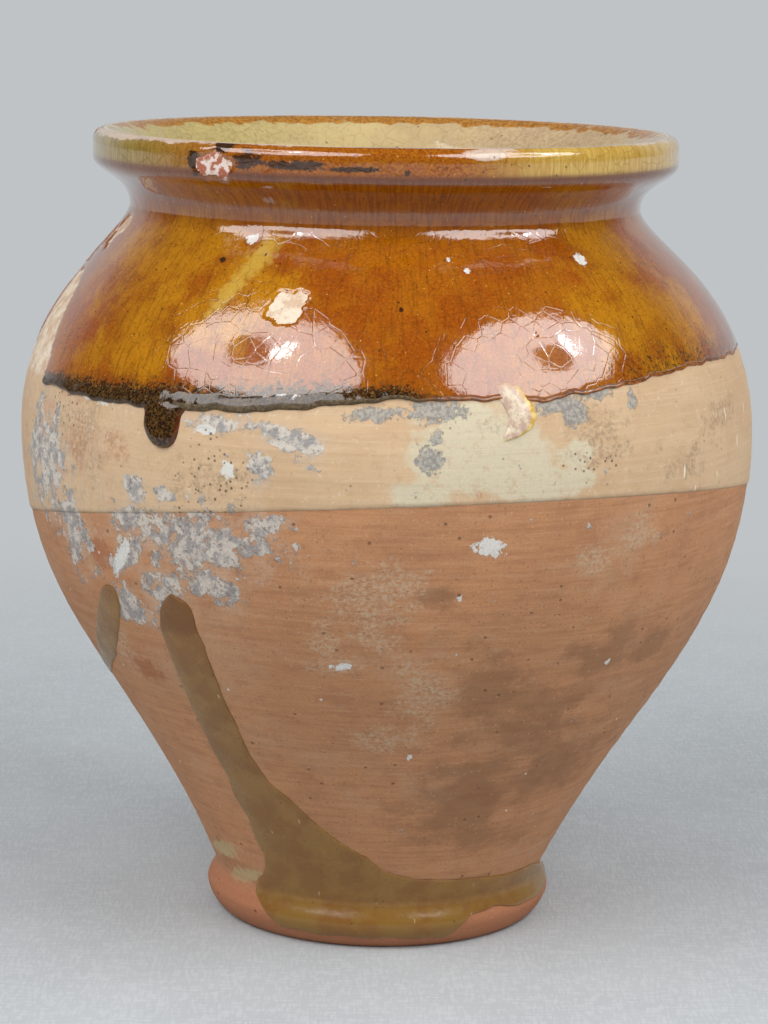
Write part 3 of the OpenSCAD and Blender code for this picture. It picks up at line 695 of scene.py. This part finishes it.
def make_clay():
    """Standing ring, outer wall to the rim and inner wall to the floor in one grid of level loops."""
    a = angles(420)
    out_s = np.r_[heights(0, 22, 44), heights(22, 152, 112), heights(152, 206, 8), heights(206, 231, 14)]
    out_s = np.r_[out_s, np.linspace(OUTER.of_height(231), RIM_S, 16)]
    A, S = np.meshgrid(a, out_s)
    P = place(OUTER, A, S, 0 * S)
    z = P[..., 2] * 1000
    chip = chipped(A, z, P)
    hidden = ease(z, slip_edge(A) + 1, slip_edge(A) + 3)
    pit = marks(A, z, LIME) ** 2
    out = throwing(A, z, P) * (1 - hidden) * ease(z, 1.5, 9) - 0.25 * hidden
    out = out + 0.22 * pit * cloud(P, 2.2, 9, 2) * (1 - hidden) - 0.35 * chip * (1 + 0.5 * cloud(P, 3, 8, 2))
    outer = place(OUTER, A, S, out)
    A2, S2 = np.meshgrid(a, np.r_[np.linspace(4, 110, 16, endpoint=False), np.linspace(110, INNER.s[-1], 12)])
    inner = place(INNER, A2, S2, -1.5 + 0 * S2)
    A3, R3 = np.meshgrid(a, np.array([2, 12, 24, 34, 38.9, 40.4, 41.9, 43.5, 46, 47.6]))
    z3 = np.interp(R3, [0, 40, 41.9], [1.2, 1.2, 0])
    t3 = np.radians(A3)
    under = np.stack([lean(z3) + R3 * np.sin(t3), -R3 * np.cos(t3), z3], -1) / 1000
    fields = {"lime": marks(A, z, LIME), "haze": marks(A, z, HAZE), "smoke": marks(A, z, SMOKE),
              "rust": marks(A, z, RUST), "white": marks(A, z, WHITE), "wash": marks(A, z, WASH),
              "chip": chip, "foot": 1 - ease(z, 11, 17)}
    for key, value in fields.items():
        below = np.repeat(value[:1], len(R3), 0)
        above = np.zeros(S2.shape)
        fields[key] = np.vstack([below, value, above])
    points = np.vstack([under, outer, inner])
    piece = skin("clay_body_shape", points, fields, poles=((0, 0, 0.0012), (0, 0, (FLOOR_H - 1.5) / 1000)))
    finish_piece(piece, clay_finish(), "clay_body")


def share_of(z, low, high):
    """How far up between a coat's two edges a height lies, from 0 to 1."""
    return (OUTER.of_height(z) - np.mean(low)) / np.mean(high - low)


def neck_rows(low, high):
    """Rows down a coat's back, 1 to 0: close together round the neck, where a long row would cut outside."""
    top, foot = share_of(241, low, high), share_of(206, low, high)
    above = np.linspace(1, top, 3, endpoint=False)
    neck = np.linspace(top, foot, 26, endpoint=False)
    return np.r_[above, neck, np.linspace(foot, 0, 7)]


def ring(name, a, low, high, v, back_v, out_face, out_back, fields):
    """Closed coat between two edges: rows up its face, then down its back, which lies under the face."""
    v = v[:, None]
    A = np.broadcast_to(a, (len(v), len(a)))
    S = low + (high - low) * v
    P = place(OUTER, A, S, 0 * S)
    z = P[..., 2] * 1000
    face = place(OUTER, A, S, out_face(A, z, v, P))
    vb = back_v[:, None]
    Ab = np.broadcast_to(a, (len(vb), len(a)))
    Sb = low + (high - low) * vb
    back = place(OUTER, Ab, Sb, out_back + 0 * Sb)
    values = {key: np.vstack([f, np.zeros(Sb.shape)]) for key, f in fields(A, z, v, P).items()}
    return skin(name, np.vstack([face, back]), values, closed_rows=True)


def make_slip():
    """Slip from its dip line to the rim: an even coat, thin at its edge, that shows in chips and flakes."""
    a = angles(520)
    v = np.r_[0, 0.004, 0.008, 0.014, np.linspace(0.022, 0.36, 62), np.linspace(0.37, 1, 66)]

    def out(A, z, v, P):
        lip_chip = chipped(A, z, P) * ease(z, 225, 230)
        coat = SLIP_T * ease(v, -0.002, 0.009) + throwing(A, z, P) * (1 - ease(z, 180, 185))
        crust = 0.2 * marks(A, z, LIME + SLATE) ** 2 * cloud(P, 2.2, 9, 2)
        return coat + crust - 0.12 * lip_chip

    def fields(A, z, v, P):
        above = ease(z, glaze_edge(A) + 1, glaze_edge(A) + 3)
        edge = np.exp(-((z - slip_edge(A)) / 0.9) ** 2) * (0.5 + 0.5 * cloud(P, 3, 4, 2))
        return {"lime": marks(A, z, LIME) * (1 - above), "slate": marks(A, z, SLATE),
                "cream": marks(A, z, CREAM),
                "stain": marks(A, z, STAIN), "rust": marks(A, z, RUST), "white": marks(A, z, WHITE),
                "soot": marks(A, z, SOOT), "chip": chipped(A, z, P) * ease(z, 225, 230),
                "weather": ease(-A, 32, 58) * (1 - ease(-A, 100, 130)),
                "scratched": ease(A, 38, 50) * (1 - ease(A, 95, 120)), "lip_edge": edge, "flake": above}
    low, high = OUTER.of_height(slip_edge(a)), RIM_S + 0 * a
    piece = ring("slip_coat_shape", a, low, high, v, neck_rows(low, high), out, -0.6, fields)
    finish_piece(piece, slip_finish(), "slip_coat")


# width of the dark bead at angles round the pot, and how dark it is there
BEAD_A = [-180, -100, -64, -60, -48, -38, -13, -6, 3, 10, 20, 60, 110, 180]
BEAD_W = [2.6, 2.4, 2.2, 2.8, 4.4, 5.2, 5.0, 3.6, 2.2, 1.8, 1.6, 1.6, 2.4, 2.6]
BEAD_DARK = [0.5, 0.6, 1, 1, 1, 1, 1, 1, 0.85, 0.3, 0.12, 0.1, 0.4, 0.5]


def make_glaze():
    """Amber glaze from under the bead to the rim, dipping below the slip's face in its chips and flakes."""
    a = angles(570)

    def out(A, z, v, P):
        gone = np.maximum(chipped(A, z, P), flaked(A, z, P))
        full = INNER_T + 0.06 * cloud(P, 50, 11, 2) + 0.06 * cloud(P, 9, 12, 2)
        # glaze worn thinner along the rim; the whitening and painted highlight there are in the finish
        rim_wear_and_highlight = 0.12 * marks(A, z, [(-55, 244.5, 55, 1.2, 0)])
        return (full - rim_wear_and_highlight) * (1 - gone) + 0.18 * gone

    def fields(A, z, v, P):
        edge = z - glaze_edge(A)
        dark = np.interp(A, BEAD_A, BEAD_DARK)
        near = 0.95 * dark * np.exp(-(edge / (1.35 * np.interp(A, BEAD_A, BEAD_W) + 1.5)) ** 2)
        speckled = 0.46 * (1 - ease(edge, 1, 19)) * ease(A, 24, 42)
        lip = ease(z, 236.2, 237.4)
        back = ease(-A, 120, 179)
        return {"ochre": marks(A, z, OCHRE), "pale": marks(A, z, PALE), "speck": marks(A, z, SPECK),
                "burnt": marks(A, z, BURNT), "dark": np.maximum(near, speckled),
                # neck: where the finish paints its darker brown, pooled glaze and painted shade under the lip
                "neck": ease(z, 215, 227) * (1 - lip), "lip": lip,
                "lip_left": ease(-A, 26, 58) * (1 - back),
                "lip_right": np.maximum(ease(A, 12, 34), back),
                "lip_line": np.exp(-((z - 236.4) / 1.0) ** 2),
                # rim ridge whitened in the finish: worn glaze and a painted highlight
                "rim_wear_and_highlight": marks(A, z, [(-62, 244.7, 44, 1.5, 0), (-20, 245, 22, 0.9, 0), (19, 243.2, 7, 1.4, 4),
                                     (60, 245, 30, 1, 0), (150, 245, 90, 1, 0)])}
    low, high = OUTER.of_height(glaze_edge(a) + 0.9), RIM_S + 0 * a
    rows = np.linspace(0, 1, 136)
    piece = ring("shoulder_glaze_shape", a, low, high, rows, neck_rows(low, high), out, 0.1, fields)
    finish_piece(piece, amber_finish(), "shoulder_glaze")


def make_bead():
    """Bead along the glaze's lower edge: a steep foot, a round crest and a long slope back into the glaze."""
    a = angles(900)
    wide = np.interp(a, BEAD_A, BEAD_W)
    low_h = glaze_edge(a)

    def out(A, z, v, P):
        dark = np.interp(A, BEAD_A, BEAD_DARK)
        crest = 0.45 + 0.55 * dark + 0.16 * cloud(P, 5, 17, 3)
        shape = np.interp(v, [0, 0.02, 0.08, 0.25, 0.5, 0.8, 1], [-0.25, 0.35, 0.8, 1, 0.85, 0.62, 0.3])
        gone = flaked(A, z, P)
        return SLIP_T + crest * shape * (1 - gone) - 0.22 * gone

    def fields(A, z, v, P):
        dark = np.interp(A, BEAD_A, BEAD_DARK)
        grain = ease(-A, 34, 30) * ease(A, 16, 8)
        return {"gold": grain * (1 - ease(v, 0.28, 0.42)) + 0.45 * (1 - grain) * ease(v, 0.5, 0.3),
                "rim": 0 * z + ease(v, 0.9, 1.0) * 0.6, "thin": 1 - ease(dark, 0.3, 0.9) + 0 * z}
    low, high = OUTER.of_height(low_h), OUTER.of_height(low_h + wide)
    v = np.r_[0, 0.02, 0.05, 0.09, np.linspace(0.15, 1, 12)]
    piece = ring("glaze_bead_shape", a, low, high, v, np.linspace(1, 0, 5), out, 0.1, fields)
    finish_piece(piece, POOLED, "glaze_bead")


def tongue(name, centre, z, half, thick, base, fields, node, finish, power=0.5, around=56):
    """Closed tongue of glaze lying on the wall. Each level loop is an arch over its width, thick by
    (1 - u^2)^power, u going from -1 at its left edge to 1 at its right, and a shallow arch behind."""
    f = np.linspace(0, 2 * math.pi, around, endpoint=False)
    u, arch = np.cos(f), np.sin(f)
    r = np.interp(z, OUTER.z, OUTER.r)[:, None]
    A = centre[:, None] + np.degrees(half[:, None] * u / r)
    Z = np.broadcast_to(z[:, None], A.shape)
    S = OUTER.of_height(Z)
    P = place(OUTER, A, S, 0 * S)
    front = thick[:, None] * np.abs(arch) ** (2 * power) * (1 + 0.12 * cloud(P, 6, 19, 2))
    out = np.where(arch > 0, base + front, base - 0.2 * np.abs(arch))
    t = np.broadcast_to(np.linspace(0, 1, len(z))[:, None], A.shape)
    values = fields(A, Z, np.broadcast_to(u, A.shape), t)
    piece = skin(name, place(OUTER, A, S, out), values)
    finish_piece(piece, finish, node)


def make_front_drip():
    """Dark drip: wide where it leaves the bead, a waist, and a round heavy end."""
    t = (1 - np.cos(np.linspace(0.02, math.pi - 0.02, 60))) / 2
    z = 174.4 - 14.3 * t
    half = np.interp(t, [0, 0.15, 0.35, 0.6, 0.72], [9.5, 8.2, 6.6, 6.3, 6.1])
    half = half * np.sqrt(np.clip(1 - (ease(t, 0.55, 0.551) * (t - 0.55) / 0.455) ** 2, 0.0004, 1))
    half = half * np.clip(t / 0.04, 0.1, 1)
    centre = np.interp(t, [0, 0.3, 0.6, 1], [-34.4, -34.6, -34.6, -34.0])
    thick = np.interp(t, [0, 0.2, 0.5, 0.8, 0.95, 1], [0.7, 1.3, 1.7, 2.1, 1.6, 0.5])

    def fields(A, Z, u, t):
        rim = np.clip(ease(np.abs(u), 0.78, 0.97) + ease(t, 0.9, 0.99), 0, 1)
        return {"rim": rim, "gold": 0 * t, "thin": 0 * t}
    tongue("front_drip_shape", centre, z, half, thick, SLIP_T, fields, "front_drip", POOLED)


def make_hooked_drip():
    """Milky drip that leaves the edge to the right, hangs and hooks back to the left at its end."""
    t = (1 - np.cos(np.linspace(0.02, math.pi - 0.02, 60))) / 2
    z = 181.6 - 15.8 * t
    centre = np.interp(t, [0, 0.2, 0.4, 0.6, 0.8, 0.92, 1], [17.4, 18.2, 19.3, 19.9, 19.3, 18.1, 17.0])
    half = np.interp(t, [0, 0.1, 0.3, 0.6, 0.8, 0.92, 1], [0.4, 4.6, 4.4, 4.2, 3.7, 2.6, 0.2])
    thick = np.interp(t, [0, 0.2, 0.35, 0.7, 0.95, 1], [0.5, 0.7, 0.8, 1.1, 0.9, 0.4])

    def fields(A, Z, u, t):
        return {"rim": np.clip(ease(u, 0.35, 0.8) + ease(t, 0.86, 0.97), 0, 1), "root": ease(t, 0.3, 0.05)}
    tongue("hooked_drip_shape", centre, z, half, thick, SLIP_T, fields,
           "hooked_drip", milky_finish())


# left and right edges of the long run: heights and angles
LEFT_Z = [20, 26, 32, 39, 48, 55, 64, 74, 82, 92, 105, 111, 117]
LEFT_A = [-38, -38.5, -38.4, -38.9, -40.8, -40, -40.7, -40.6, -40.3, -39.5, -39.2, -38.2, -36]
RIGHT_Z = [20, 26, 31, 36, 43, 51, 56, 65, 83, 102, 107, 111, 115, 117]
RIGHT_A = [4, 1, -4.5, -11.6, -17.8, -23.6, -27.7, -30.4, -30.9, -31.1, -31.6, -31.2, -31.8, -33.5]


def make_long_run():
    """Long run: from a round head between its two edges down into the foot pool, thinning into it."""
    t = (1 - np.cos(np.linspace(0.015, math.pi - 0.015, 200))) / 2
    z = 117 - 92 * t
    left, right = np.interp(z, LEFT_Z, LEFT_A), np.interp(z, RIGHT_Z, RIGHT_A)
    r = np.interp(z, OUTER.z, OUTER.r)
    half = np.radians(right - left) / 2 * r
    half = half * np.sqrt(np.clip(1 - np.clip((z - 112.5) / 4.55, 0, 1) ** 2, 0.0004, 1))
    half = half * (1 + 0.035 * np.sin(z / 3.1) * np.sin(z / 7.7))
    thick = 0.7 * ease(z, 24.8, 31) + 0.12 * ease(z, 100, 112)

    def fields(A, Z, u, t):
        return {"green": 0.25 + 0.5 * ease(-Z, -46, -26), "gray": 0.25 * ease(u, -0.4, -1.0), "wax": 0 * t,
                "head": ease(Z, 103, 107)}
    tongue("long_run_shape", (left + right) / 2, z, half, thick, 0.0, fields,
           "long_run", OLIVE, 0.3)


def make_short_run():
    """Short run at the left: a round head, a lean to the left and a blurred grey tail, which is painted sheen
    where the run turns round the left edge.
    """
    t = (1 - np.cos(np.linspace(0.02, math.pi - 0.02, 90))) / 2
    z = 115.6 - 37 * t
    centre = np.interp(z, [78, 82, 90, 97, 103, 109, 116], [-75, -71, -62.4, -57.4, -53.8, -50.8, -49])
    half = np.interp(z, [78, 82, 90, 98, 106, 113], [1.5, 4.5, 7, 7, 6.2, 4.6])
    half = half * np.sqrt(np.clip(1 - np.clip((z - 111) / 4.65, 0, 1) ** 2, 0.0004, 1))
    half = half * np.sqrt(np.clip((z - 78.5) / 3, 0.002, 1))
    thick = 0.25 + 0.45 * ease(z, 79, 88)

    def fields(A, Z, u, t):
        # gray on the tail: painted sheen where the run turns round the left edge
        return {"green": 0.5 + 0 * t, "gray": ease(t, 0.45, 0.85), "wax": 0 * t,
                "head": 0.3 * ease(t, 0.3, 0.1)}
    tongue("short_run_shape", centre, z, half, thick, 0.0, fields, "short_run", OLIVE, 0.3)


# the foot pool's upper and lower edges round the foot: angles and heights
TOP_A = [-47, -44, -41, -39, -37.5, -36, -10, -4.3, 0.9, 4.9, 11, 23, 33, 46, 62, 78, 93]
TOP_Z = [14.4, 18, 20, 23, 28, 32.5, 33, 31.6, 26.3, 24.9, 23.2, 21.8, 21.3, 20, 19.8, 16, 12.6]
LOW_A = [-47, -43, -40, -34.5, -25, 6, 23, 26.5, 32, 42, 49, 62, 75, 93]
LOW_Z = [13.4, 10.6, 8.6, 4.9, 4, 4, 3, 5.6, 9.1, 10.8, 9.1, 8.3, 8.6, 11.6]


def make_foot_pool():
    """Pool on the foot: each loop is an arch across its height at one angle, thickest in the groove."""
    a = np.interp(np.linspace(0, 1, 300), np.linspace(0, 1, 5), [-47, -30, 5, 55, 93])
    low = OUTER.of_height(np.interp(a, LOW_A, LOW_Z) + 0.25 * np.sin(a / 2.3))[:, None]
    high = OUTER.of_height(np.interp(a, TOP_A, TOP_Z))[:, None]
    f = np.linspace(0, 2 * math.pi, 96, endpoint=False)
    s, arch = np.cos(f), np.sin(f)
    S = (low + high) / 2 + (high - low) / 2 * s
    A = np.broadcast_to(a[:, None], S.shape)
    P = place(OUTER, A, S, 0 * S)
    z = P[..., 2] * 1000
    groove = np.exp(-((z - 15.5) / 3.4) ** 2)
    thick = (0.7 + 0.35 * groove) * (1 + 0.1 * cloud(P, 9, 19, 2)) * ease(93 - A, 0, 4) * ease(A + 47, 0, 3)
    out = np.where(arch > 0, thick * np.abs(arch) ** 0.6, -0.2 * np.abs(arch))
    values = {"green": 0.5 + 0.5 * np.exp(-((z - 7) / 6) ** 2), "gray": 0.5 * ease(A, 40, 80), "head": 0 * z,
              "wax": np.exp(-((z - 8) / 5) ** 2)}
    piece = skin("foot_pool_shape", place(OUTER, A, S, out), values)
    finish_piece(piece, OLIVE, "foot_pool")


def make_inner():
    """Glaze inside: down its back under the surface from the floor's middle, then down its face."""
    a = angles(460, 0.0)
    A2, S2 = np.meshgrid(a, np.linspace(INNER.s[-1], 0, 20))
    back = place(INNER, A2, S2, -0.2 + 0 * S2)
    A, S = np.meshgrid(a, np.r_[np.linspace(0, 40, 64, endpoint=False), np.linspace(40, INNER.s[-1], 100)])
    P = place(INNER, A, S, 0 * S)
    drops = 0.25 * ease(cloud(P, 11, 14, 2), 0.25, 0.7) * ease(S, 4, 9) * ease(-S, -26, -12)
    face = place(INNER, A, S, INNER_T + 0.07 * cloud(P, 40, 4, 2) + drops)
    far = ease(np.cos(np.radians(A)), 0.2, -0.4)
    left = ease(-np.sin(np.radians(A)), 0, 0.75)
    fields = {"rim": (0.25 + 0.55 * far) * ease(-S, -9, -3), "greenish": left * ease(-S, -45, -20),
              # inner rim ridge whitened in the finish: worn glaze and a painted highlight
              "pinkish": ease(np.sin(np.radians(A)), 0, 0.6), "rim_wear_and_highlight": 0.75 * ease(-S, -2.2, -0.2)}
    fields = {key: np.vstack([np.zeros(S2.shape), value + 0 * S]) for key, value in fields.items()}
    piece = skin("inner_glaze_shape", np.vstack([back, face]), fields,
                 poles=((0, 0, (FLOOR_H - 0.2) / 1000), (0, 0, (FLOOR_H + INNER_T) / 1000)))
    finish_piece(piece, inner_finish(), "inner_glaze")


POOLED = pooled_finish()
OLIVE = olive_finish()
make_clay()
make_slip()
make_glaze()
make_bead()
make_front_drip()
make_hooked_drip()
make_long_run()
make_short_run()
make_foot_pool()
make_inner()


# studio
AIM = Vector((0, -0.09, 0.19))
BACKDROP = (0.521, 0.546, 0.565, 1)


def umbrella(name, turn, rise, wide, tall, glow, gap):
    """Umbrella lamp seen from the shoulder: its turn from the front, its rise and its spread, in degrees.
    glow is its radiance. The dark flash head in the middle of it sits at gap, with a bright spot beside."""
    far = 1.1
    level = math.cos(math.radians(rise))
    toward = Vector((math.sin(math.radians(turn)) * level, -math.cos(math.radians(turn)) * level,
                     math.sin(math.radians(rise))))
    data = bpy.data.lights.new(name, "AREA")
    data.shape = "ELLIPSE"
    data.size = 2 * far * math.tan(math.radians(wide / 2))
    data.size_y = 2 * far * math.tan(math.radians(tall / 2))
    data.energy = glow * math.pi * math.pi / 4 * data.size * data.size_y
    data.use_nodes = True
    tree = data.node_tree
    emission = tree.nodes["Emission"]
    spot = tree.nodes.new("ShaderNodeNewGeometry").outputs["Parametric"]

    def patch(at, size, inside, outside):
        away = tree.nodes.new("ShaderNodeVectorMath")
        away.operation = "SUBTRACT"
        tree.links.new(spot, away.inputs[0])
        away.inputs[1].default_value = (*at, 0)
        scaled = tree.nodes.new("ShaderNodeVectorMath")
        scaled.operation = "MULTIPLY"
        tree.links.new(away.outputs[0], scaled.inputs[0])
        scaled.inputs[1].default_value = (1 / size[0], 1 / size[1], 0)
        length = tree.nodes.new("ShaderNodeVectorMath")
        length.operation = "LENGTH"
        tree.links.new(scaled.outputs[0], length.inputs[0])
        shade = tree.nodes.new("ShaderNodeMapRange")
        tree.links.new(length.outputs["Value"], shade.inputs[0])
        for socket, value in zip(shade.inputs[1:5], (0.8, 1.2, inside, outside)):
            socket.default_value = value
        return shade.outputs[0]
    both = tree.nodes.new("ShaderNodeMath")
    both.operation = "MULTIPLY"
    tree.links.new(patch(gap, (0.1, 0.15), 0.06, 1), both.inputs[0])
    tree.links.new(patch((gap[0] + 0.13, gap[1] + 0.1), (0.035, 0.1), 5, 1), both.inputs[1])
    tree.links.new(both.outputs[0], emission.inputs["Strength"])
    lamp = bpy.data.objects.new(name, data)
    bpy.context.collection.objects.link(lamp)
    lamp.location = AIM + far * toward
    lamp.rotation_euler = (-toward).to_track_quat("-Z", "Y").to_euler()
    lamp.visible_camera = False


umbrella("left_umbrella", -50, 43, 60, 38, 3.7, (0.4, 0.55))
umbrella("right_umbrella", 58, 42, 56, 34, 4.2, (0.62, 0.45))


def make_world():
    """Room: the backdrop's grey for the camera, even soft light, and for gloss a bright backdrop behind
    the pot and a dim room in front of it."""
    world = bpy.data.worlds.new("studio")
    bpy.context.scene.world = world
    world.use_nodes = True
    tree = world.node_tree
    ground = tree.nodes["Background"]
    tree.nodes.remove(ground)
    rays = tree.nodes.new("ShaderNodeLightPath").outputs

    def background(strength):
        node = tree.nodes.new("ShaderNodeBackground")
        node.inputs["Color"].default_value = BACKDROP
        if isinstance(strength, bpy.types.NodeSocket):
            tree.links.new(strength, node.inputs["Strength"])
        else:
            node.inputs["Strength"].default_value = strength
        return node.outputs[0]

    def either(share, first, second):
        node = tree.nodes.new("ShaderNodeMixShader")
        tree.links.new(share, node.inputs[0])
        tree.links.new(first, node.inputs[1])
        tree.links.new(second, node.inputs[2])
        return node.outputs[0]
    way = tree.nodes.new("ShaderNodeSeparateXYZ")
    tree.links.new(tree.nodes.new("ShaderNodeTexCoord").outputs["Generated"], way.inputs[0])

    def fade(value, low, high, start, end):
        node = tree.nodes.new("ShaderNodeMapRange")
        tree.links.new(value, node.inputs[0])
        for socket, number in zip(node.inputs[1:5], (low, high, start, end)):
            socket.default_value = number
        return node.outputs[0]
    wall = tree.nodes.new("ShaderNodeMath")
    wall.operation = "MULTIPLY_ADD"
    tree.links.new(fade(way.outputs["Y"], 0.45, 0.75, 0, 0.8), wall.inputs[0])
    tree.links.new(fade(way.outputs["Z"], 0.62, 0.3, 0, 1), wall.inputs[1])
    wall.inputs[2].default_value = 0.1
    shader = either(rays["Is Glossy Ray"], background(0.95), background(wall.outputs[0]))
    shader = either(rays["Is Camera Ray"], shader, background(1.0))
    tree.links.new(shader, tree.nodes["World Output"].inputs["Surface"])


def make_floor():
    """Pale woven cloth, level under the pot, that passes into the backdrop's grey away from it."""
    mesh = bpy.data.meshes.new("floor")
    mesh.from_pydata([(-6, -6, 0), (6, -6, 0), (6, 6, 0), (-6, 6, 0)], [], [(0, 1, 2, 3)])
    floor = bpy.data.objects.new("floor", mesh)
    bpy.context.collection.objects.link(floor)
    f = Finish("floor_cloth", 0.95)
    weave = f.times(f.noise(0.9, 2, 0.5, (1, 6, 1), 1), f.noise(0.9, 2, 0.5, (6, 1, 1), 2))
    color = f.mix(f.step(f.noise(60, 3), 0.35, 0.65), paint(181, 185, 188), paint(186, 190, 193))
    color = f.mix(f.step(weave, 0.22, 0.34, 0.4), color, paint(206, 209, 211))
    f.relief(weave, 0.35)
    f.done(color)
    glow = f.tree.nodes.new("ShaderNodeEmission")
    glow.inputs["Color"].default_value = BACKDROP
    away = f.length(f.mm)
    blend = f.tree.nodes.new("ShaderNodeMixShader")
    f.plug(blend.inputs[0], f.step(away, 210, 680))
    f.plug(blend.inputs[1], f.shader.outputs[0])
    f.plug(blend.inputs[2], glow.outputs[0])
    f.plug(f.tree.nodes["Material Output"].inputs["Surface"], blend.outputs[0])
    mesh.materials.append(f.material)


make_world()
make_floor()

camera_data = bpy.data.cameras.new("camera")
camera_data.lens = 3100 * 36 / 1024
camera_data.sensor_width = 36
camera = bpy.data.objects.new("camera", camera_data)
bpy.context.collection.objects.link(camera)
camera.matrix_world = (Matrix.Translation((-0.0002, -0.9571, 0.2982))
                       @ Matrix.Rotation(math.radians(90 - 10.2), 4, "X")
                       @ Matrix.Rotation(math.radians(0.97), 4, "Z"))
bpy.context.scene.camera = camera
bpy.context.scene.view_settings.view_transform = "Standard"
